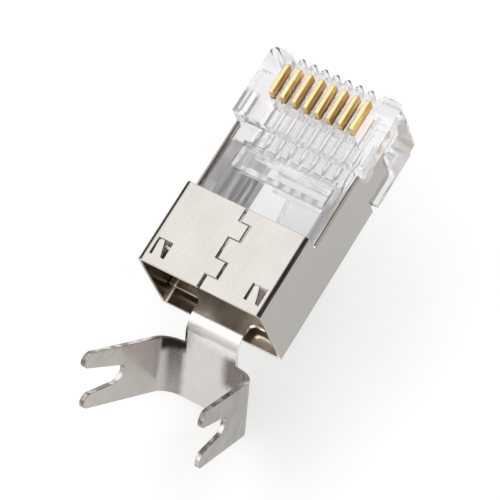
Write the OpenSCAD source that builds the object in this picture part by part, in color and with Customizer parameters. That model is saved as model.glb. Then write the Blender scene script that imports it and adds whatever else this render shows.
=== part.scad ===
// Shielded eight-way modular plug with an external crimp tail.
// X runs across the plug, +Y is the way it is pushed in, +Z is the contact side.
// The origin is on the centreline, where the nose's underside meets the plane of its front face.
// Distances along the plug are given backward from that plane.

/* [Nose] */
// Width of the nose
nose_w = 11.68; // [10.8:0.02:12.6]
// Height of the nose
nose_h = 6.6; // [6.2:0.05:7.4]
// Length of the wide part of the nose
nose_len = 6.1; // [5.4:0.05:7.2]
// Rounding of the nose's front corners, seen from above
nose_r = 0.5; // [0.2:0.05:0.8]
// Height of the front lip above the underside
lip_rise = 0.4; // [0.1:0.05:0.7]
// Length of the front lip
lip_len = 1.1; // [0.8:0.05:1.3]
// Length of the full-height corner blocks
corner_len = 2.1; // [1.5:0.1:3]
// Depth of the pocket behind each corner block
pocket_deep = 0.4; // [0.1:0.05:0.8]
// Width of the rim round each pocket
pocket_rim = 0.3; // [0.2:0.05:0.5]

/* [Contacts] */
// Distance between neighbouring contacts
pitch = 1.02; // [0.95:0.01:1.1]
// Thickness of a contact blade
blade_t = 0.34; // [0.25:0.01:0.4]
// Length of a blade's top edge
blade_len = 2.75; // [2.4:0.05:3]
// Height of a blade before crimping, from its points to its top edge
blade_h = 4.1; // [3.6:0.05:4.4]
// Distance from the front face to the blades
blade_front = 1.15; // [1:0.05:1.4]
// Height of the blades above the nose before crimping
blade_proud = 0.9; // [0.3:0.05:1.1]
// Rounding of a blade's top corners
blade_r = 0.22; // [0.05:0.01:0.4]
// Length of the two points under a blade
tine_len = 1.3; // [0.8:0.05:1.6]
// Depth of the grooves under the blades' points
groove_deep = 0.7; // [0.6:0.05:0.9]
// Distance of the points' outer edges from the blade's ends
tine_inset = 0.25; // [0.1:0.05:0.4]
// Gap round a blade in its slot
slot_gap = 0.06; // [0.03:0.01:0.1]
// Depth of the slots' open front sill below the nose's top
sill_deep = 1.5; // [1:0.05:2]

/* [Wire channels] */
// Diameter of a wire channel
wire_d = 0.9; // [0.7:0.01:0.92]
// Distance of the channels' centres below the blades' points
wire_drop = 0.3; // [0:0.05:0.5]
// Distance from the front face to the channels' blind ends
wire_front = 0.95; // [0.6:0.05:1.2]
// Length of the funnel at a channel's mouth
funnel_len = 1.1; // [0.6:0.05:1.6]
// Radius of the funnel at the cavity
funnel_r = 0.72; // [0.6:0.01:0.9]

/* [Body and cavity] */
// Distance from the front face to the cavity's front wall
cavity_front = 7.4; // [7:0.1:8]
// Thickness of the body's side walls beside the cavity
side_t = 0.98; // [0.8:0.02:1.4]
// Height of the cavity's floor
cavity_z = 1.3; // [1.15:0.05:1.6]
// Rounding of the cavity's long corners
cavity_r = 1.1; // [0.6:0.05:1.5]
// Gap between the panel's front edge and the full-height part of the body
block_inset = 0.2; // [0.1:0.05:0.6]
// Thickness of the roof over the rear of the cavity
roof_t = 0.9; // [0.6:0.05:1.2]
// Height of the body in the open window
window_z = 5.3; // [5:0.05:5.5]
// Distance from the shield's rear edge to the body's rear end
body_inset = 2.4; // [2.2:0.1:3]
// Distance from the tail base's rear edge to the end of the shelf under it
shelf_end = 0.6; // [0.3:0.05:1]
// Height of the cut under the rear side walls
relief_z = 3.3; // [3:0.05:4]
// Length of that cut
relief_len = 3.2; // [3:0.1:3.6]
// Length of the strain relief bar
bar_len = 1.8; // [1.4:0.05:2.4]
// Thickness of the strain relief bar
bar_t = 1.2; // [0.8:0.05:1.5]
// Length of the slant under the bar's rear edge
bar_slant = 0.7; // [0.3:0.05:1]
// Side gap of the bar in the cavity
bar_gap = 0.15; // [0.08:0.01:0.3]
// Length of the thin web that the bar hinges on
web_len = 0.5; // [0.3:0.05:0.8]
// Thickness of that web
web_t = 0.3; // [0.2:0.05:0.5]

/* [Shield] */
// Outer width of the shield
shield_w = 11.0; // [10.4:0.02:11.4]
// Outer height of the shield
shield_h = 8.36; // [8.2:0.02:8.8]
// How far the shield reaches below the nose's underside
shield_drop = 0.8; // [0.7:0.02:0.9]
// Sheet thickness of the shield
sheet_t = 0.28; // [0.2:0.01:0.32]
// Outer radius of the shield's folds
fold_r = 0.5; // [0.4:0.02:0.8]
// Distance from the front face to the shield's rear edge
shield_back = 20; // [19.6:0.1:21]
// Length of the top panel
panel_len = 7.1; // [5.6:0.1:7.2]
// Height of the side walls beside the window
wall_z = 5.6; // [5.4:0.05:6]
// Gap between the nose and the side walls' full-height front
wall_gap = 0.25; // [0.1:0.05:1]
// Distance from the front face to the side skirts' front edge
skirt_front = 3.45; // [3:0.05:4]
// Height of the skirts' lower edge
skirt_low = 0.55; // [0.4:0.05:0.8]
// Height of the skirts' upper edge
skirt_high = 4.5; // [4:0.05:4.8]
// Bevel at the skirts' front corners
skirt_bevel = 0.35; // [0.1:0.05:0.6]
// Running gap between the shield and the housing
fit_gap = 0.04; // [0.02:0.01:0.08]
// Rim of the body beside the latch opening in the shield's underside
hatch_rim = 0.3; // [0.1:0.05:0.6]
// Width of the lengthwise seam gap
seam_gap = 0.16; // [0.06:0.01:0.2]
// Width of the cross gaps at the seam's keys
key_gap = 0.05; // [0.03:0.01:0.1]
// How far the seam's keys reach across
key_reach = 0.93; // [0.6:0.01:1.1]
// Length of a seam key
key_len = 1.45; // [1:0.05:1.6]
// Distance from the panel's front edge to the first key
key_start = 1.15; // [0.8:0.05:1.4]
// Distance from one key to the next
key_step = 3.3; // [2.6:0.05:3.6]
// Distance of the locking tongues from the shield's sides
tongue_side = 1.3; // [1.1:0.05:1.6]
// Width of the opening round a locking tongue
tongue_w = 1.22; // [1:0.02:1.4]
// Length of a locking tongue
tongue_len = 1.35; // [0.9:0.05:1.5]
// Width of the slit on a tongue's straight side
tongue_slit = 0.17; // [0.08:0.01:0.25]
// Width of the gap at a tongue's root on its slanting side
tongue_gap = 0.2; // [0.1:0.01:0.3]
// How much narrower a tongue is at its free end
tongue_taper = 0.36; // [0.1:0.02:0.45]
// How far a tongue's free end is raised
tongue_lift = 0.16; // [0.05:0.01:0.3]
// Distance from the shield's rear edge to the tongues' roots
tongue_inset = 0.75; // [0.6:0.05:0.9]

/* [Latch] */
// Width of the latch up to its shoulders
latch_w = 6.0; // [5.6:0.05:6.2]
// Width of the latch's finger tab
tab_w = 3.25; // [3:0.05:3.6]
// Thickness of the latch's arm
latch_t = 0.84; // [0.7:0.02:0.9]
// Distance from the front face to the latch's hinge line
hinge_back = 2.0; // [1.9:0.05:2.2]
// Height of the latch's hinge line
hinge_z = -0.05; // [-0.1:0.01:0]
// Slope of the relaxed latch
latch_slope = 19; // [17:0.5:20]
// Distance from the hinge line to the locking shoulders
shoulder_at = 6.3; // [5.8:0.05:6.6]
// Length of the locking shoulders
shoulder_len = 1.9; // [1.4:0.05:2.2]
// Depth of the locking shoulders
shoulder_t = 1.85; // [1.4:0.05:2]
// Distance from the hinge line to the tab's end
latch_len = 12.6; // [12:0.1:12.8]
// Gap behind the pressed latch in its recess
latch_end = 0.8; // [0.4:0.05:1]
// Gap round the latch's root
hinge_gap = 0.05; // [0.04:0.01:0.08]
// Side gap of the latch in its recess
latch_gap = 0.3; // [0.25:0.05:0.4]
// Length of the slope from the shoulders down to the tab
tab_slope = 1.6; // [1:0.1:2.4]
// Thickness of the tab
tab_t = 1.1; // [0.9:0.05:1.3]
// Distance between the tab's grip ribs
rib_step = 1.1; // [0.8:0.05:1.4]
// Radius of the tab's grip ribs
rib_r = 0.18; // [0.1:0.01:0.25]
// Height of the latch recess's ceiling
recess_z = 0.72; // [0.65:0.01:0.8]

/* [Crimp tail] */
// Sheet thickness of the tail
tail_t = 0.4; // [0.3:0.02:0.5]
// Side gap between the tail's base and the shield
tail_gap = 0.12; // [0.06:0.01:0.3]
// Gap in front of the base, under the body's rear side walls
base_gap = 0.3; // [0.2:0.05:0.6]
// Distance from the shield's rear edge to the base's rear edge
base_inset = 1.15; // [0.8:0.05:1.5]
// Gap between the base's side wings and the body above them
wing_gap = 0.5; // [0.3:0.05:1.2]
// Length of the base's rear part without wings
base_lip = 0.8; // [0.4:0.05:1.2]
// Inner radius of the base's wing folds
wing_r = 0.16; // [0.1:0.01:0.3]
// Height of the base's underside
base_z = 0.3; // [0.2:0.02:0.4]
// How far the neck reaches into the base
neck_hold = 0.5; // [0.3:0.05:0.8]
// Width of the neck
neck_w = 4.6; // [4:0.05:5]
// Rounding between the base and the neck
neck_fillet = 0.45; // [0.2:0.05:0.6]
// Distance from the shield's rear edge to the start of the neck's bend
bend_inset = 0.2; // [0:0.05:0.5]
// Radius of the neck's bend, on its outer side
bend_r = 1.8; // [0.9:0.05:2]
// Angle of the neck's bend
bend_deg = 61.7; // [50:0.5:66]
// Length of the neck's straight part after the bend
neck_run = 1.27; // [1:0.01:2.4]
// Length of the grip along the cable
grip_len = 5.63; // [5:0.05:6.2]
// Half width of the grip's flat bottom
grip_flat = 2.3; // [1:0.05:2.6]
// Inner radius of the grip's bends
grip_r = 1.6; // [1.3:0.05:3]
// Lean of each arm away from upright
arm_flare = 8; // [4:0.2:16]
// Height of the arms above the grip's floor
arm_h = 9.47; // [8:0.05:10.5]
// Sweep of the arms toward the plug
arm_sweep = 24.6; // [15:0.2:30]
// Width of a prong at its tip
prong_w = 1.48; // [1.2:0.02:1.7]
// Width of the fork's slot at its root
fork_w = 1.8; // [1.4:0.05:2]
// Height of the fork's root above the grip's floor
fork_h = 4.9; // [4.2:0.05:5.6]

/* [Hidden] */
$fn = 48;
clear = 1;
arc_steps = 20;
lap = 0.1;
neck_lap = 0.35;
ways = 8;
ribs = 3;
nose_x = nose_w / 2;
wall_x = shield_w / 2;
body_x = wall_x - sheet_t - fit_gap;
body_low = sheet_t + fit_gap - shield_drop;
shield_top = shield_h - shield_drop;
body_top = shield_top - sheet_t - fit_gap;
panel_front = shield_back - panel_len;
body_back = shield_back - body_inset;
relief_front = body_back - relief_len;
base_back = shield_back - base_inset;
bend_at = shield_back - bend_inset;
block_front = panel_front + block_inset;
wall_front = nose_len + wall_gap;
cavity_x = body_x - side_t;
slot_w = blade_t + 2 * slot_gap;
rib_w = pitch - slot_w;
blade_top = nose_h + blade_proud;
blade_low = blade_top - blade_h;
sill_z = nose_h - sill_deep;
wire_z = blade_low - wire_drop;
comb_x = ways * pitch / 2;
groove_low = blade_low - groove_deep;
pin_r = latch_t / 2;
recess_x = latch_w / 2 + latch_gap;
hatch_x = recess_x + hatch_rim;
hatch_back = hinge_back + latch_len + latch_end;
base_x = wall_x - sheet_t - tail_gap;
base_front = relief_front + base_gap;
wing_z = relief_z - wing_gap;
tongue_x = wall_x - tongue_side;
tongue_root = tongue_inset - shield_back;
grip_y = -(bend_at + bend_r * sin(bend_deg) + neck_run * cos(bend_deg));
grip_z = base_z + tail_t - bend_r * (1 - cos(bend_deg)) - neck_run * sin(bend_deg);
arm_lean = tan(arm_sweep);
arm_reach = grip_flat + grip_r + arm_h;
neck_root = neck_hold - base_back;

function contact_x(i) = (i - (ways + 1) / 2) * pitch;

// A point of the tail's side outline: u backward along the cable, h above the grip's floor.
function swept(u, h) = [-u + arm_lean * h, h];

// Points along an arc from one angle to another.
function arc_points(centre, r, from, to) =
    [for (k = [0 : arc_steps]) let(a = from + (to - from) * k / arc_steps)
        centre + r * [cos(a), sin(a)]];

// A box given by its two opposite corners.
module box(a, b) {
    translate(a)
        cube(b - a);
}

// A side outline in Y and Z, extruded evenly to both sides of the centreline.
module side_prism(w) {
    rotate([90, 0, 90])
        linear_extrude(w, center = true)
            children();
}

// A cross-section in X and Z, extruded backward from one distance to another.
module run(from, to) {
    translate([0, -from, 0])
        rotate([90, 0, 0])
            linear_extrude(to - from)
                children();
}

// A rectangle with round corners, from its lower left to its upper right corner.
module round_rect(a, b, r) {
    translate([a[0] + r, a[1]])
        square([b[0] - a[0] - 2 * r, b[1] - a[1]]);
    translate([a[0], a[1] + r])
        square([b[0] - a[0], b[1] - a[1] - 2 * r]);
    for (x = [a[0] + r, b[0] - r], z = [a[1] + r, b[1] - r])
        translate([x, z])
            circle(r);
}

// The wide nose, seen from above, with round front corners.
module nose_plan() {
    translate([-nose_x, -nose_len])
        square([nose_w, nose_len - nose_r]);
    translate([nose_r - nose_x, -nose_len])
        square([nose_w - 2 * nose_r, nose_len]);
    for (s = [-1, 1])
        translate([s * (nose_x - nose_r), -nose_r])
            circle(nose_r);
}

// Cuts on the nose: side pockets for the shield's skirts, top pockets and the underside's front lip.
module nose_cuts() {
    for (s = [0, 1])
        mirror([s, 0, 0]) {
            box([body_x, -nose_len - clear, skirt_low - fit_gap],
                [nose_x + clear, fit_gap - skirt_front, skirt_high + fit_gap]);
            box([comb_x + pocket_rim, pocket_rim - nose_len, nose_h - pocket_deep],
                [nose_x - pocket_rim, -corner_len, nose_h + clear]);
        }
    box([-nose_x - clear, -lip_len, -clear], [nose_x + clear, clear, lip_rise]);
}

// The comb at the front: a notch that takes the round-ended ribs between the slots.
module comb_notch() {
    box([-comb_x, -rib_w / 2, sill_z], [comb_x, clear, nose_h + clear]);
}

module rib_tips() {
    for (i = [1 : ways - 1])
        translate([contact_x(i) + pitch / 2, -rib_w / 2 - fit_gap, sill_z])
            cylinder(r = rib_w / 2, h = nose_h - sill_z);
}

// One contact's slot: deep round the blade and open to the front above the sill.
module contact_slot(x) {
    box([x - slot_w / 2, -blade_front - blade_len - slot_gap, groove_low],
        [x + slot_w / 2, slot_gap - blade_front, nose_h + clear]);
    box([x - slot_w / 2, -blade_front - blade_len / 2, sill_z],
        [x + slot_w / 2, clear, nose_h + clear]);
}

// One wire channel: a blind bore with a funnel mouth at the cavity.
module wire_channel(x) {
    translate([x, -cavity_front - clear, wire_z])
        rotate([-90, 0, 0]) {
            cylinder(d = wire_d, h = cavity_front + clear - wire_front);
            cylinder(r = funnel_r, h = clear);
            translate([0, 0, clear])
                cylinder(r1 = funnel_r, r2 = wire_d / 2, h = funnel_len);
        }
}

// The narrow body inside the shield: low beside the window, full height under the top panel.
module inner_body() {
    run(nose_len - clear, body_back)
        round_rect([-body_x, body_low], [body_x, window_z], fold_r - sheet_t);
    run(block_front, body_back)
        round_rect([-body_x, body_low], [body_x, body_top], fold_r - sheet_t);
    box([-body_x + fold_r, shelf_end - base_back, body_low], [body_x - fold_r, clear - body_back, base_z]);
}

module cavity() {
    run(cavity_front, body_back + clear)
        round_rect([-cavity_x, cavity_z], [cavity_x, body_top - roof_t], cavity_r);
    box([-wall_x, -body_back - clear, base_z], [wall_x, -relief_front, relief_z]);
}

// The strain relief bar lies in the window and hinges on a thin web at its front.
module relief_bar() {
    side = cavity_x - bar_gap;
    bar_front = cavity_front + web_len;
    bar_rear = bar_front + bar_len;
    web_top = window_z - bar_t / 3;
    side_prism(2 * side)
        polygon([[-bar_front, window_z], [-bar_rear, window_z], [-bar_rear, window_z - bar_t / 2],
                 [bar_slant - bar_rear, window_z - bar_t], [-bar_front, window_z - bar_t]]);
    box([-side, -bar_front - web_t, web_top - web_t], [side, web_t - cavity_front, web_top]);
}

// The recess under the body that the pressed latch folds into, with the latch's round seat.
module latch_recess() {
    box([-recess_x, -hatch_back, -shield_h], [recess_x, -hinge_back, recess_z]);
    translate([0, -hinge_back, hinge_z])
        rotate([0, 90, 0])
            cylinder(r = pin_r + hinge_gap, h = 2 * recess_x, center = true);
}

module housing() {
    color([0.9, 0.93, 0.95, 0.4]) {
        difference() {
            union() {
                linear_extrude(nose_h)
                    nose_plan();
                inner_body();
            }
            nose_cuts();
            comb_notch();
            for (i = [1 : ways]) {
                contact_slot(contact_x(i));
                wire_channel(contact_x(i));
            }
            cavity();
            latch_recess();
        }
        rib_tips();
        relief_bar();
    }
}

// The latch in its own frame: the hinge line at the origin, the arm lying straight back.
module latch_blank() {
    ramp = shoulder_len - shoulder_at;
    tab_end = tab_t / 2 - latch_len;
    rotate([0, 90, 0])
        cylinder(r = pin_r, h = latch_w, center = true);
    box([-latch_w / 2, -shoulder_at, -pin_r], [latch_w / 2, 0, pin_r]);
    side_prism(latch_w)
        polygon([[-shoulder_at, pin_r], [-shoulder_at, pin_r - shoulder_t],
                 [ramp - shoulder_t / 3, pin_r - shoulder_t], [ramp, -pin_r], [ramp, pin_r]]);
    side_prism(tab_w) {
        polygon([[rib_step / 2 - shoulder_at, pin_r], [rib_step / 2 - shoulder_at, pin_r - shoulder_t],
                 [-shoulder_at - tab_slope, pin_r - tab_t], [tab_end, pin_r - tab_t], [tab_end, pin_r]]);
        translate([tab_end, pin_r - tab_t / 2])
            circle(tab_t / 2);
    }
    for (k = [1 : ribs])
        translate([0, tab_end + rib_step * k, pin_r - tab_t])
            rotate([0, 90, 0])
                cylinder(r = rib_r, h = tab_w - 2 * rib_step / 3, center = true);
}

module locking_latch() {
    color([0.9, 0.93, 0.95, 0.4])
        translate([0, -hinge_back, hinge_z])
            rotate([latch_slope, 0, 0])
                latch_blank();
}

// One contact blade: a plate with two points that pierce its wire.
module blade_outline() {
    back = -blade_front - blade_len;
    shoulder = blade_low + tine_len;
    low = back + tine_inset;
    high = -blade_front - tine_inset;
    lean = tine_len / 4;
    translate([back, shoulder])
        square([blade_len, blade_top - shoulder - blade_r]);
    translate([back + blade_r, blade_top - blade_r - clear / 2])
        square([blade_len - 2 * blade_r, blade_r + clear / 2]);
    for (y = [back + blade_r, -blade_front - blade_r])
        translate([y, blade_top - blade_r])
            circle(blade_r);
    polygon([[low, shoulder], [low + lean, blade_low], [back + blade_len / 2, shoulder - tine_len / 4],
             [high - lean, blade_low], [high, shoulder]]);
}

module contact(i) {
    color([0.85, 0.66, 0.3])
        translate([contact_x(i), 0, 0])
            side_prism(blade_t)
                blade_outline();
}

// The folded sheet's closed section, before anything is cut from it.
module shield_section() {
    difference() {
        round_rect([-wall_x, -shield_drop], [wall_x, shield_top], fold_r);
        round_rect([sheet_t - wall_x, sheet_t - shield_drop], [wall_x - sheet_t, shield_top - sheet_t],
                   fold_r - sheet_t);
    }
}

// A skirt's outline beside the nose, with bevelled front corners.
module skirt_outline() {
    polygon([[-wall_front - clear, skirt_low], [-skirt_front - skirt_bevel, skirt_low],
             [-skirt_front, skirt_low + skirt_bevel], [-skirt_front, skirt_high - skirt_bevel],
             [-skirt_front - skirt_bevel, skirt_high], [-wall_front - clear, skirt_high]]);
}

module skirts() {
    for (s = [-1, 1])
        translate([s * (wall_x - sheet_t / 2), 0, 0])
            side_prism(sheet_t)
                skirt_outline();
}

// The seam across the panel: lengthwise gaps joined by two square keys.
module seam_cut() {
    low = shield_top - sheet_t - clear;
    high = shield_top + clear;
    a = panel_front + key_start;
    b = a + key_step;
    lengths = [[panel_front - clear, a, 0], [a, a + key_len, key_reach],
               [a + key_len, b, 0], [b, b + key_len, key_reach], [b + key_len, shield_back + clear, 0]];
    for (g = lengths)
        box([g[2] - seam_gap / 2, -g[1], low], [g[2] + seam_gap / 2, -g[0], high]);
    for (y = [a, a + key_len, b, b + key_len])
        box([-seam_gap / 2, -y - key_gap / 2, low], [key_reach + seam_gap / 2, key_gap / 2 - y, high]);
}

// The opening that a locking tongue is sheared from.
module tongue_hole() {
    box([-tongue_w / 2, tongue_root, shield_top - sheet_t - clear],
        [tongue_w / 2, tongue_root + tongue_len + seam_gap / 2, shield_top + clear]);
}

// A locking tongue: three sides sheared free, one of them slanting, and its free end raised.
module tongue() {
    tip = tongue_root + tongue_len;
    low = tongue_slit - tongue_w / 2;
    high = tongue_w / 2 - tongue_gap;
    intersection() {
        side_prism(tongue_w)
            polygon([[tongue_root - lap, shield_top - sheet_t], [tongue_root - lap, shield_top],
                     [tongue_root, shield_top], [tip, shield_top + tongue_lift],
                     [tip, shield_top + tongue_lift - sheet_t], [tongue_root, shield_top - sheet_t]]);
        linear_extrude(shield_h)
            polygon([[low, tongue_root - lap], [low, tip - tongue_slit], [low + tongue_slit, tip],
                     [high - tongue_taper, tip], [high, tongue_root], [high, tongue_root - lap]]);
    }
}

module shield_shell() {
    color([0.74, 0.72, 0.68]) {
        difference() {
            run(wall_front, shield_back)
                shield_section();
            box([-wall_x - clear, -panel_front, wall_z], [wall_x + clear, clear, shield_top + clear]);
            box([-hatch_x, -hatch_back, -shield_h], [hatch_x, clear, 0]);
            seam_cut();
            for (s = [-1, 1])
                translate([s * tongue_x, 0, 0])
                    tongue_hole();
        }
        skirts();
        for (s = [-1, 1])
            translate([s * tongue_x, 0, 0])
                tongue();
    }
}

// The tail's base: a shallow tray with a wing up each side.
module tail_base() {
    inner = base_x - tail_t;
    top = wing_z + clear;
    rim = base_z + tail_t + wing_r;
    difference() {
        run(base_front, base_back)
            difference() {
                round_rect([-base_x, base_z], [base_x, top], tail_t + wing_r);
                round_rect([-inner, base_z + tail_t], [inner, top + clear], wing_r);
            }
        box([-wall_x, -shield_back, wing_z], [wall_x, 0, top + clear]);
        box([-wall_x, -shield_back, rim], [wall_x, base_lip - base_back, top]);
    }
}

// The neck's side profile: flat, then bent down, then straight to the grip.
module neck_profile() {
    centre = [-bend_at, base_z + tail_t - bend_r];
    along = [cos(bend_deg), sin(bend_deg)];
    under = [sin(bend_deg), -cos(bend_deg)] * tail_t;
    end = [grip_y, grip_z] - neck_lap * along;
    polygon(concat([[neck_root, base_z], [neck_root, base_z + tail_t]],
                   arc_points(centre, bend_r, 90, 90 + bend_deg), [end, end + under],
                   arc_points(centre, bend_r - tail_t, 90 + bend_deg, 90)));
}

// Round inner corners where the neck leaves the base.
module neck_fillets() {
    for (s = [0, 1])
        mirror([s, 0, 0])
            translate([neck_w / 2, -base_back, base_z])
                linear_extrude(tail_t)
                    polygon(concat([[-lap, lap], [-lap, -neck_fillet]],
                                   arc_points([neck_fillet, -neck_fillet], neck_fillet, 180, 90),
                                   [[neck_fillet, lap]]));
}

// Half of the grip's section: half the flat floor, the bend and the leaning arm, out and back again.
function grip_half() =
    let(turn = 90 - arm_flare, centre = [grip_flat, grip_r], reach = arm_reach * [cos(turn), sin(turn)],
        outer = arc_points(centre, grip_r + tail_t, -90, turn - 90),
        inner = arc_points(centre, grip_r, turn - 90, -90))
    concat(outer, [outer[arc_steps] + reach, inner[0] + reach], inner);

module grip_section() {
    half = grip_half();
    polygon(concat(half, [for (k = [len(half) - 1 : -1 : 0]) [-half[k][0], half[k][1]]]));
}

// A half circle on the swept fork, from its front side round to its rear side.
function fork_arc(u, h, r, way) =
    arc_points(swept(u, h), r * cos(arm_sweep), -arm_sweep, way * 180 - arm_sweep);

// The fork's outline from the side: two prongs with round tips and a round-ended slot between them.
module fork_outline() {
    tip_r = prong_w / 2;
    slot_r = fork_w / 2;
    polygon(concat([swept(grip_len, -clear), swept(0, -clear)],
                   fork_arc(tip_r, arm_h - tip_r, tip_r, 1),
                   fork_arc(grip_len / 2, fork_h + slot_r, slot_r, -1),
                   fork_arc(grip_len - tip_r, arm_h - tip_r, tip_r, 1)));
}

module grip() {
    translate([0, grip_y, grip_z])
        rotate([bend_deg, 0, 0])
            intersection() {
                run(-arm_reach, grip_len + clear)
                    grip_section();
                side_prism(2 * arm_reach)
                    fork_outline();
            }
}

module cable_clamp() {
    color([0.76, 0.74, 0.7]) {
        tail_base();
        side_prism(neck_w)
            neck_profile();
        neck_fillets();
        grip();
    }
}

housing();
locking_latch();
shield_shell();
cable_clamp();
contact(1);  // contact_1
contact(2);  // contact_2
contact(3);  // contact_3
contact(4);  // contact_4
contact(5);  // contact_5
contact(6);  // contact_6
contact(7);  // contact_7
contact(8);  // contact_8
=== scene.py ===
from math import radians

import bpy
from mathutils import Euler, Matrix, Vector


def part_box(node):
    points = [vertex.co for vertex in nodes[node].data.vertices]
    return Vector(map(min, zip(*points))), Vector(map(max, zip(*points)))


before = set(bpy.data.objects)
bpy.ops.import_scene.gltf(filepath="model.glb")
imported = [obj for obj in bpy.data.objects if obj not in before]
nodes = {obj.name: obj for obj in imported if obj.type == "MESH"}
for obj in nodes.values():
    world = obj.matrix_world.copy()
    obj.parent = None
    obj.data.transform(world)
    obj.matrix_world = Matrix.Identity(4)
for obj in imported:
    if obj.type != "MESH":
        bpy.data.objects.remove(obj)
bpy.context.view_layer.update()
mm = 0.001
print("frame loaded:", len(nodes), "nodes")


# shader helpers

def newMaterial(name):
    mat = bpy.data.materials.new(name)
    mat.use_nodes = True
    return mat, mat.node_tree, mat.node_tree.nodes["Principled BSDF"]


def addNode(tree, kind, **values):
    node = tree.nodes.new(kind)
    for name, value in values.items():
        setattr(node, name, value)
    return node


def objectCoord(tree):
    return addNode(tree, "ShaderNodeTexCoord").outputs["Object"]


def objectNoise(tree, scale, stretch=(1, 1, 1), detail=3.0):
    mapping = addNode(tree, "ShaderNodeMapping")
    mapping.inputs["Scale"].default_value = stretch
    noise = addNode(tree, "ShaderNodeTexNoise")
    noise.inputs["Scale"].default_value = scale
    noise.inputs["Detail"].default_value = detail
    tree.links.new(objectCoord(tree), mapping.inputs["Vector"])
    tree.links.new(mapping.outputs["Vector"], noise.inputs["Vector"])
    return noise.outputs["Fac"]


def spread(tree, source, start, end, low=0.0, high=1.0, smooth=False):
    # value start becomes low, value end becomes high
    node = addNode(tree, "ShaderNodeMapRange")
    if smooth:
        node.interpolation_type = "SMOOTHSTEP"
    limits = (("From Min", start), ("From Max", end), ("To Min", low), ("To Max", high))
    for name, value in limits:
        node.inputs[name].default_value = value
    tree.links.new(source, node.inputs["Value"])
    return node.outputs["Result"]


def spreadMm(tree, source, span, low=0.0, high=1.0, smooth=False):
    # the same for a place on the object, with the span in mm
    return spread(tree, source, span[0] * mm, span[1] * mm, low, high, smooth)


def maths(tree, kind, a, b=None):
    node = addNode(tree, "ShaderNodeMath", operation=kind)
    for socket, value in zip(node.inputs, (a, b)):
        if isinstance(value, (int, float)):
            socket.default_value = value
        elif value is not None:
            tree.links.new(value, socket)
    return node.outputs["Value"]


def product(tree, first, *others):
    for other in others:
        first = maths(tree, "MULTIPLY", first, other)
    return first


def blendColour(tree, factor, a, b):
    mix = addNode(tree, "ShaderNodeMix", data_type="RGBA")
    tree.links.new(factor, mix.inputs["Factor"])
    for name, value in (("A", a), ("B", b)):
        if isinstance(value, tuple):
            mix.inputs[name].default_value = (*value, 1)
        else:
            tree.links.new(value, mix.inputs[name])
    return mix.outputs["Result"]


def axes(tree, source):
    split = addNode(tree, "ShaderNodeSeparateXYZ")
    tree.links.new(source, split.inputs["Vector"])
    return split.outputs["X"], split.outputs["Y"], split.outputs["Z"]


def addBump(tree, bsdf, height, depth, strength=0.5):
    bump = addNode(tree, "ShaderNodeBump")
    bump.inputs["Distance"].default_value = depth
    bump.inputs["Strength"].default_value = strength
    tree.links.new(height, bump.inputs["Height"])
    tree.links.new(bump.outputs["Normal"], bsdf.inputs["Normal"])


def facing(tree, axis):
    # how far a face looks along x, y or z, as an absolute share
    normal = addNode(tree, "ShaderNodeTexCoord").outputs["Normal"]
    return maths(tree, "ABSOLUTE", axes(tree, normal)["xyz".index(axis)])


# metal: what the shield and the tail share

metal = {
    "noise": (0.35, 0.65),        # part of the noise that counts
    "patchScale": 420,
    "patchDetail": 4,
    "patchShare": 0.65,
    "speckleScale": 5200,
    "speckleDetail": 2,
    "speckleShare": 0.35,
    "grainScale": 2600,
    "grainStretch": (1, 0.12, 1),
    "grainDetail": 2,
}


def plating(tree, look):
    patches = objectNoise(tree, metal["patchScale"], detail=metal["patchDetail"])
    patches = spread(tree, patches, *metal["noise"], 0, metal["patchShare"])
    speckle = objectNoise(tree, metal["speckleScale"], detail=metal["speckleDetail"])
    speckle = spread(tree, speckle, *metal["noise"], 0, metal["speckleShare"])
    mottle = maths(tree, "ADD", patches, speckle)
    return blendColour(tree, mottle, look["colour"], look["shade"])


def polish(tree, bsdf, look):
    grain = objectNoise(tree, metal["grainScale"], metal["grainStretch"], metal["grainDetail"])
    rough = spread(tree, grain, *metal["noise"], *look["roughness"])
    tree.links.new(rough, bsdf.inputs["Roughness"])
    addBump(tree, bsdf, grain, look["grainDepth"])
    bsdf.inputs["Metallic"].default_value = 1.0


# shield: places are in mm on the object, facings are shares from 0 to 1
nickel = {
    "colour": (0.588, 0.562, 0.528),
    "shade": (0.550, 0.522, 0.488),
    # walls: painted shade, a darker copy of the plating where the sheet faces sideways
    "wall": (0.412, 0.394, 0.371),
    "wallFacing": (0.80, 0.97),
    "roughness": (0.17, 0.23),
    "grainDepth": 0.0000002,
    "leftToRight": (-3, 3),
    "wallSide": 5.40,             # middle of the sheet
    "wallTop": 7.44,
    "wallLow": -0.68,
    "wallSoft": 0.03,
    # interior seen through the window: painted shade on the left, painted light on the right
    "windowShadedLeft": (0.60, 0.575, 0.55),
    "windowLitRight": (0.97, 0.96, 0.95),
    # rear interior: painted shade on the walls, painted light on the roof, and painted shade to
    # light across the bottom
    "inside": (0.20, 0.160, 0.125),
    "insideFrom": (-12.6, -14.0),  # along Y, where the painted shade of the interior starts
    "ceiling": (0.56, 0.47, 0.385),
    "ceilingFrom": (5.8, 7.2),
    "lowShadedLeft": (0.50, 0.43, 0.36),
    "lowLitRight": (0.98, 0.89, 0.78),
    "lowFrom": (1.2, -0.3),
    # painted shade along the top folds, broken up by noise
    "foldShade": (0.10, 0.085, 0.07),
    "foldBend": (0.27, 0.41),     # facing x times facing z
    "foldUp": (0.72, 0.86),
    "foldFrom": (6.5, 7.0),
    "foldGrain": 1500,
    "foldStretch": (1, 0.35, 1),
    "foldNoise": (0.30, 0.50),
    "foldBreak": (0.55, 1.0),
    "cut": (0.075, 0.056, 0.045),  # painted shade on the sheared rim beside the window
    "cutMiddle": (0.48, 0.43, 0.38),
    "cutLine": (0.02, 0.045),
    "cutFacing": (0.80, 0.95),
    "cutFrom": (-12.75, -12.65),
    "cutAbove": (5.3, 5.5),
}


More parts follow.
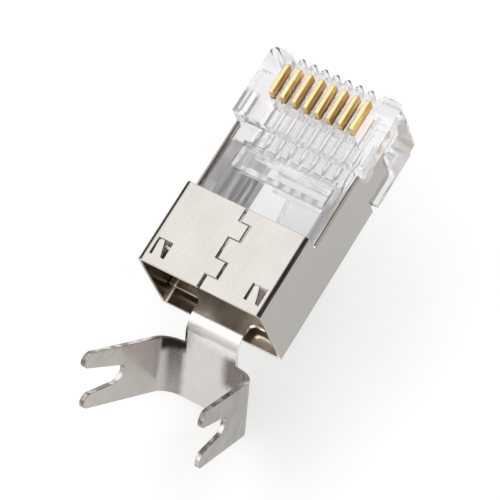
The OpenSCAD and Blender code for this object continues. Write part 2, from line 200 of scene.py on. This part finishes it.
def shieldInside(tree, look, x, z):
    soft = look["wallSoft"]
    away = maths(tree, "ABSOLUTE", x)
    across = spreadMm(tree, away, (look["wallSide"] + soft, look["wallSide"] - soft))
    under = spreadMm(tree, z, (look["wallTop"] + soft, look["wallTop"] - soft))
    over = spreadMm(tree, z, (look["wallLow"] - soft, look["wallLow"] + soft))
    return product(tree, across, under, over)


# where the painted shade lies on the folds
def shieldFoldShade(tree, look, z):
    bend = product(tree, facing(tree, "x"), facing(tree, "z"))  # only on the folds
    bent = spread(tree, bend, *look["foldBend"], smooth=True)
    top = spreadMm(tree, z, look["foldFrom"])
    upward = spread(tree, facing(tree, "z"), *look["foldUp"], smooth=True)
    grain = objectNoise(tree, look["foldGrain"], look["foldStretch"])
    broken = spread(tree, grain, *look["foldNoise"], *look["foldBreak"])
    return product(tree, bent, top, upward, broken)


# where the painted shade lies on the rim
def shieldRimShade(tree, look, y, z):
    level = spread(tree, facing(tree, "z"), *look["cutFacing"])
    beside = spreadMm(tree, y, look["cutFrom"])
    return product(tree, level, beside, spreadMm(tree, z, look["cutAbove"]))


def rimShadeColour(tree, look, x):
    # painted shade: dark at both sides of the rim, paler along its middle
    away = maths(tree, "SUBTRACT", maths(tree, "ABSOLUTE", x), look["wallSide"] * mm)
    line = spreadMm(tree, maths(tree, "ABSOLUTE", away), look["cutLine"])
    return blendColour(tree, line, look["cutMiddle"], look["cut"])


# painted shade and light on the interior of the shield
def insideColour(tree, look, x, y, z):
    rightward = spreadMm(tree, x, look["leftToRight"])
    high = spreadMm(tree, z, look["ceilingFrom"], smooth=True)
    paintedInside = blendColour(tree, high, look["inside"], look["ceiling"])
    low = spreadMm(tree, z, look["lowFrom"], smooth=True)
    lowShadeAndLight = blendColour(tree, rightward, look["lowShadedLeft"], look["lowLitRight"])
    paintedInside = blendColour(tree, low, paintedInside, lowShadeAndLight)
    # painted shade and light behind the window
    window = blendColour(tree, rightward, look["windowShadedLeft"], look["windowLitRight"])
    return blendColour(tree, spreadMm(tree, y, look["insideFrom"]), window, paintedInside)


def shieldMaterial(look):
    mat, tree, bsdf = newMaterial("nickelShield")
    x, y, z = axes(tree, objectCoord(tree))
    # painted shade on the walls
    side = spread(tree, facing(tree, "x"), *look["wallFacing"], smooth=True)
    outer = blendColour(tree, side, plating(tree, look), look["wall"])
    outer = blendColour(tree, shieldFoldShade(tree, look, z), outer, look["foldShade"])
    inner = insideColour(tree, look, x, y, z)
    colour = blendColour(tree, shieldInside(tree, look, x, z), outer, inner)
    colour = blendColour(tree, shieldRimShade(tree, look, y, z), colour, rimShadeColour(tree, look, x))
    tree.links.new(colour, bsdf.inputs["Base Color"])
    polish(tree, bsdf, look)
    return mat


# tail: "turn" is how far the sheet faces sideways, 0 on the flat and 1 on the arms;
# "across" and "down" are mm across the plug and down the bent sheet
tail = {
    "colour": (0.650, 0.622, 0.594),
    "shade": (0.600, 0.572, 0.542),
    "roughness": (0.18, 0.26),
    "grainDepth": 0.0000003,
    "downSheet": (-0.4741, -0.8805),   # along Y and Z
    "streakScale": 5000,
    "streakStretch": (1, 0.3, 0.3),
    "streakNoise": (0.3, 0.7),
    "jitter": 0.09,                    # mm, how ragged the ends of the painted shades are
    # painted highlight: a pale band across the bend at the top of the tail
    "neck": (0.860, 0.830, 0.800),
    "neckFrom": (-21.9, -20.9),
    "leftToRight": (-2.5, 2.5),
    # arms: painted shade, the right one darker than the left
    "leftArmShade": (0.478, 0.440, 0.404),
    "rightArmShade": (0.280, 0.262, 0.245),
    "armsFrom": (3.2, 4.1),
    "scuffScale": 1400,
    "scuffStretch": (1, 0.5, 0.5),
    "scuffDetail": 5,
    "scuffNoise": (0.38, 0.62),
    "scuffShare": (0.80, 1.0),
    # plate in the shield: painted shade on the left, painted light on the right
    "trayShadedLeft": (0.52, 0.44, 0.36),
    "trayLitRight": (1.0, 0.90, 0.77),
    "trayFrom": (-20.1, -19.5),
    # bare sheared edge of the arms: its own grey-brown tone, with painted glint spots
    "cutDark": (0.26, 0.235, 0.21),
    "cutBright": (0.68, 0.65, 0.62),
    "cutTurn": (0.55, 0.35),
    "cutFrom": (4.05, 4.15),
    "glintScale": 1100,
    "glintNoise": (0.42, 0.62),
    "bendFrom": (-21.0, -21.4),
    "fleckScale": 11000,
    "fleckStretch": (1, 0.7, 0.7),
    "fleckDetail": 2,
    "fleckShare": (0.84, 1.0),
    "paintedShades": [   # painted dark reflections on the bends: a dark band, a near-black spot, a dark brown patch
        {"colour": (0.072, 0.063, 0.053), "across": (-2.0, -2.7), "turn": (0.97, 0.60),
         "fade": (12.2, 16.5), "fadeTo": 0.6, "down": [], "flecked": True},
        {"colour": (0.016, 0.014, 0.012), "across": (-2.06, -2.22), "turn": (0.985, 0.88),
         "down": [(12.85, 12.05)], "flecked": False},
        {"colour": (0.150, 0.126, 0.103), "across": (0.8, 1.8), "turn": (0.97, 0.75),
         "down": [(14.6, 13.4), (10.6, 11.3)], "flecked": True},
    ],
}


# share of one painted dark reflection on the bends
def paintedShadeShare(tree, mark, across, along, turn, behind, flecks):
    share = product(tree, spreadMm(tree, across, mark["across"], smooth=True), behind,
                    spread(tree, turn, *mark["turn"], smooth=True))
    if "fade" in mark:
        share = product(tree, share, spreadMm(tree, along, mark["fade"], 1.0, mark["fadeTo"]))
    for span in mark["down"]:
        share = product(tree, share, spreadMm(tree, along, span, smooth=True))
    return product(tree, share, flecks) if mark["flecked"] else share


# painted dark reflections on the bends of the tail
def addPaintedShades(tree, look, colour, place, turn):
    x, y, z = place
    down = look["downSheet"]
    streaks = objectNoise(tree, look["streakScale"], look["streakStretch"])
    jitter = spread(tree, streaks, *look["streakNoise"], -look["jitter"] * mm, look["jitter"] * mm)
    across = maths(tree, "ADD", x, jitter)
    slope = maths(tree, "ADD", product(tree, y, down[0]), product(tree, z, down[1]))
    along = maths(tree, "ADD", slope, jitter)
    behind = spreadMm(tree, y, look["bendFrom"])
    flecks = objectNoise(tree, look["fleckScale"], look["fleckStretch"], look["fleckDetail"])
    flecks = spread(tree, flecks, *metal["noise"], *look["fleckShare"])
    for mark in look["paintedShades"]:
        share = paintedShadeShare(tree, mark, across, along, turn, behind, flecks)
        colour = blendColour(tree, share, colour, mark["colour"])
    return colour


# where the arms take their painted shade, broken up by noise
def armShare(tree, look, away):
    arms = spreadMm(tree, away, look["armsFrom"], smooth=True)
    scuffs = objectNoise(tree, look["scuffScale"], look["scuffStretch"], look["scuffDetail"])
    return product(tree, arms, spread(tree, scuffs, *look["scuffNoise"], *look["scuffShare"]))


def addShearedEdge(tree, look, colour, away, turn):
    level = spread(tree, turn, *look["cutTurn"])
    cut = product(tree, level, spreadMm(tree, away, look["cutFrom"]))
    # painted glint spots on the sheared edge
    paintedGlints = objectNoise(tree, look["glintScale"])
    paintedGlints = spread(tree, paintedGlints, *look["glintNoise"], smooth=True)
    edge = blendColour(tree, paintedGlints, look["cutDark"], look["cutBright"])
    return blendColour(tree, cut, colour, edge)


def tailMaterial(look):
    mat, tree, bsdf = newMaterial("nickelTail")
    x, y, z = axes(tree, objectCoord(tree))
    turn = facing(tree, "x")
    away = maths(tree, "ABSOLUTE", x)
    rightward = spreadMm(tree, x, look["leftToRight"])
    # painted shade on the arms
    armShading = blendColour(tree, rightward, look["leftArmShade"], look["rightArmShade"])
    colour = blendColour(tree, armShare(tree, look, away), plating(tree, look), armShading)
    # painted highlight across the upper bend
    neck = spreadMm(tree, y, look["neckFrom"], smooth=True)
    colour = blendColour(tree, neck, colour, look["neck"])
    colour = addPaintedShades(tree, look, colour, (x, y, z), turn)
    colour = addShearedEdge(tree, look, colour, away, turn)
    # painted shade and light on the plate in the shield
    trayShading = blendColour(tree, rightward, look["trayShadedLeft"], look["trayLitRight"])
    colour = blendColour(tree, spreadMm(tree, y, look["trayFrom"]), colour, trayShading)
    tree.links.new(colour, bsdf.inputs["Base Color"])
    polish(tree, bsdf, look)
    return mat


gold = {
    "top": (1.0, 0.73, 0.33),
    # flanks of the blades: painted shade, a darker copy of the gold, with stains darker still
    "flankShade": (0.90, 0.56, 0.18),
    "flankFacing": (0.35, 0.85),
    "stain": (0.70, 0.38, 0.11),
    "stainScale": 900,
    "stainStretch": (1, 0.5, 1),
    "stainNoise": (0.40, 0.62),
    "roughness": (0.26, 0.38),
}


def goldMaterial(look):
    mat, tree, bsdf = newMaterial("goldPlate")
    stains = objectNoise(tree, look["stainScale"], look["stainStretch"])
    stains = spread(tree, stains, *look["stainNoise"])
    # painted shade on the flanks, with stains
    flankShade = blendColour(tree, stains, look["flankShade"], look["stain"])
    side = spread(tree, facing(tree, "x"), *look["flankFacing"])
    tree.links.new(blendColour(tree, side, look["top"], flankShade), bsdf.inputs["Base Color"])
    tree.links.new(spread(tree, stains, 0, 1, *look["roughness"]), bsdf.inputs["Roughness"])
    bsdf.inputs["Metallic"].default_value = 1.0
    return mat


clear = {
    "colour": (0.962, 0.963, 0.968),
    "rippleScale": 260,
    "rippleNoise": (0.35, 0.65),
    "rippleDepth": 0.000003,
    "rippleStrength": 0.4,
    "roughness": (0.02, 0.07),
    "index": 1.37,
    "clarity": 0.87,
    "letThrough": 0.9,   # share of the light that passes straight on to what lies behind
}


def clearMaterial(look):
    mat, tree, bsdf = newMaterial("clearPlastic")
    ripple = objectNoise(tree, look["rippleScale"], detail=1)
    rough = spread(tree, ripple, *look["rippleNoise"], *look["roughness"])
    tree.links.new(rough, bsdf.inputs["Roughness"])
    addBump(tree, bsdf, ripple, look["rippleDepth"], look["rippleStrength"])
    bsdf.inputs["Base Color"].default_value = (*look["colour"], 1)
    bsdf.inputs["Transmission Weight"].default_value = look["clarity"]
    bsdf.inputs["IOR"].default_value = look["index"]
    path = addNode(tree, "ShaderNodeLightPath").outputs
    light = maths(tree, "MAXIMUM", path["Is Shadow Ray"], path["Is Diffuse Ray"])
    alpha = spread(tree, light, 0, 1, 1, 1 - look["letThrough"])
    tree.links.new(alpha, bsdf.inputs["Alpha"])
    return mat


# finish of the CAD nodes: weld, merge flat faces, round the edges, smooth the shading

finish = {
    "weld": 0.001,       # mm
    "flatAngle": 0.5,    # degrees
    "edgeAngle": 35,
    "edgeSegments": 2,
    "smoothWeight": 100,
    "edgeRound": {       # mm
        "shield_shell": 0.05,
        "cable_clamp": 0.07,
        "housing": 0.06,
        "locking_latch": 0.08,
        "contact": 0.04,
    },
}


def finishNode(name, mat, bevel):
    piece = nodes[name]
    piece.material_slots[0].material = mat
    weld = piece.modifiers.new("weld", "WELD")
    weld.merge_threshold = finish["weld"] * mm
    flatten = piece.modifiers.new("flatten", "DECIMATE")
    flatten.decimate_type = "DISSOLVE"
    flatten.angle_limit = radians(finish["flatAngle"])
    edge = piece.modifiers.new("edge", "BEVEL")
    edge.width = bevel * mm
    edge.segments = finish["edgeSegments"]
    edge.limit_method = "ANGLE"
    edge.angle_limit = radians(finish["edgeAngle"])
    smooth = piece.modifiers.new("smooth", "WEIGHTED_NORMAL")
    smooth.weight = finish["smoothWeight"]
    smooth.keep_sharp = True


edgeRound = finish["edgeRound"]
finishNode("shield_shell", shieldMaterial(nickel), edgeRound["shield_shell"])
finishNode("cable_clamp", tailMaterial(tail), edgeRound["cable_clamp"])
clearPlastic = clearMaterial(clear)
for name in ("housing", "locking_latch"):
    finishNode(name, clearPlastic, edgeRound[name])
goldPlate = goldMaterial(gold)
for i in range(8):
    finishNode(f"contact_{i + 1}", goldPlate, edgeRound["contact"])
print("materials done")


# studio

floorPlan = {
    "gap": 3,        # mm under the lowest point of the plug
    "size": 12,      # m, so that low side views are white too
    "colour": 0.76,
    "lift": 0.34,
}


def makeFloor(look):
    low = min(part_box(name)[0].z for name in nodes)
    place = (0, 0, low - look["gap"] * mm)
    bpy.ops.mesh.primitive_plane_add(size=look["size"], location=place)
    floor = bpy.context.object
    floor.name = "floor"
    mat, tree, bsdf = newMaterial("paleFloor")
    bsdf.inputs["Base Color"].default_value = (look["colour"],) * 3 + (1,)
    bsdf.inputs["Roughness"].default_value = 1.0
    bsdf.inputs["Specular IOR Level"].default_value = 0.0
    path = addNode(tree, "ShaderNodeLightPath").outputs
    seen = maths(tree, "MAXIMUM", path["Is Camera Ray"], path["Is Glossy Ray"])
    seen = maths(tree, "MAXIMUM", seen, path["Is Transmission Ray"])
    bsdf.inputs["Emission Color"].default_value = (1, 1, 1, 1)
    tree.links.new(product(tree, seen, look["lift"]), bsdf.inputs["Emission Strength"])
    under = addNode(tree, "ShaderNodeNewGeometry").outputs["Backfacing"]
    alpha = maths(tree, "SUBTRACT", 1.0, under)   # clear from below, to show the underside
    tree.links.new(alpha, bsdf.inputs["Alpha"])
    floor.data.materials.append(mat)


camera = {
    "place": (85.94, -73.60, 205.91),   # mm
    "turn": (24.754, 11.693, 31.693),   # degrees
    "lens": 218.6,
    "sensor": 36,
    "nearest": 0.01,
}


def makeCamera(look):
    data = bpy.data.cameras.new("camera")
    data.lens = look["lens"]
    data.sensor_width = look["sensor"]
    data.clip_start = look["nearest"]
    cam = bpy.data.objects.new("camera", data)
    bpy.context.scene.collection.objects.link(cam)
    cam.location = Vector(look["place"]) * mm
    cam.rotation_euler = Euler([radians(a) for a in look["turn"]])
    bpy.context.scene.camera = cam


# a soft pale dome, with a thin black strip arched over the plug that draws its folds
dome = {
    "steps": [   # height from bottom to top, brightness
        (0.0, 0.7), (0.46, 0.7), (0.52, 0.66), (0.66, 0.66),
        (0.80, 0.9), (0.90, 1.42), (1.0, 1.48),
    ],
    "strip": {
        "level": 0.03,
        "y": 0.24,
        "half": 0.10,
        "soft": 0.12,
        "right": (-0.16, 0.06),
        "left": (-0.58, -0.72),
        "above": (-0.02, 0.06),
    },
}


def stripShare(tree, strip, x, y, z):
    away = maths(tree, "ABSOLUTE", maths(tree, "SUBTRACT", y, strip["y"]))
    near = spread(tree, away, strip["half"] + strip["soft"], strip["half"], smooth=True)
    right = spread(tree, x, *strip["right"], smooth=True)
    left = spread(tree, x, *strip["left"], smooth=True)
    above = spread(tree, z, *strip["above"])
    return product(tree, near, maths(tree, "MAXIMUM", left, right), above)


def makeWorld(look):
    world = bpy.data.worlds.new("studio")
    bpy.context.scene.world = world
    world.use_nodes = True
    tree = world.node_tree
    x, y, z = axes(tree, addNode(tree, "ShaderNodeTexCoord").outputs["Generated"])
    level = addNode(tree, "ShaderNodeValToRGB")
    tree.links.new(spread(tree, z, -1, 1), level.inputs["Fac"])
    bands = level.color_ramp.elements
    while len(bands) < len(look["steps"]):
        bands.new(1.0)
    for band, (place, value) in zip(bands, look["steps"]):
        band.position = place
        band.color = (value, value, value, 1)
    dark = stripShare(tree, look["strip"], x, y, z)
    black = (look["strip"]["level"],) * 3
    colour = blendColour(tree, dark, level.outputs["Color"], black)
    tree.links.new(colour, tree.nodes["Background"].inputs["Color"])


makeFloor(floorPlan)
makeCamera(camera)
makeWorld(dome)
bpy.context.scene.view_settings.view_transform = "Standard"
print("studio done")
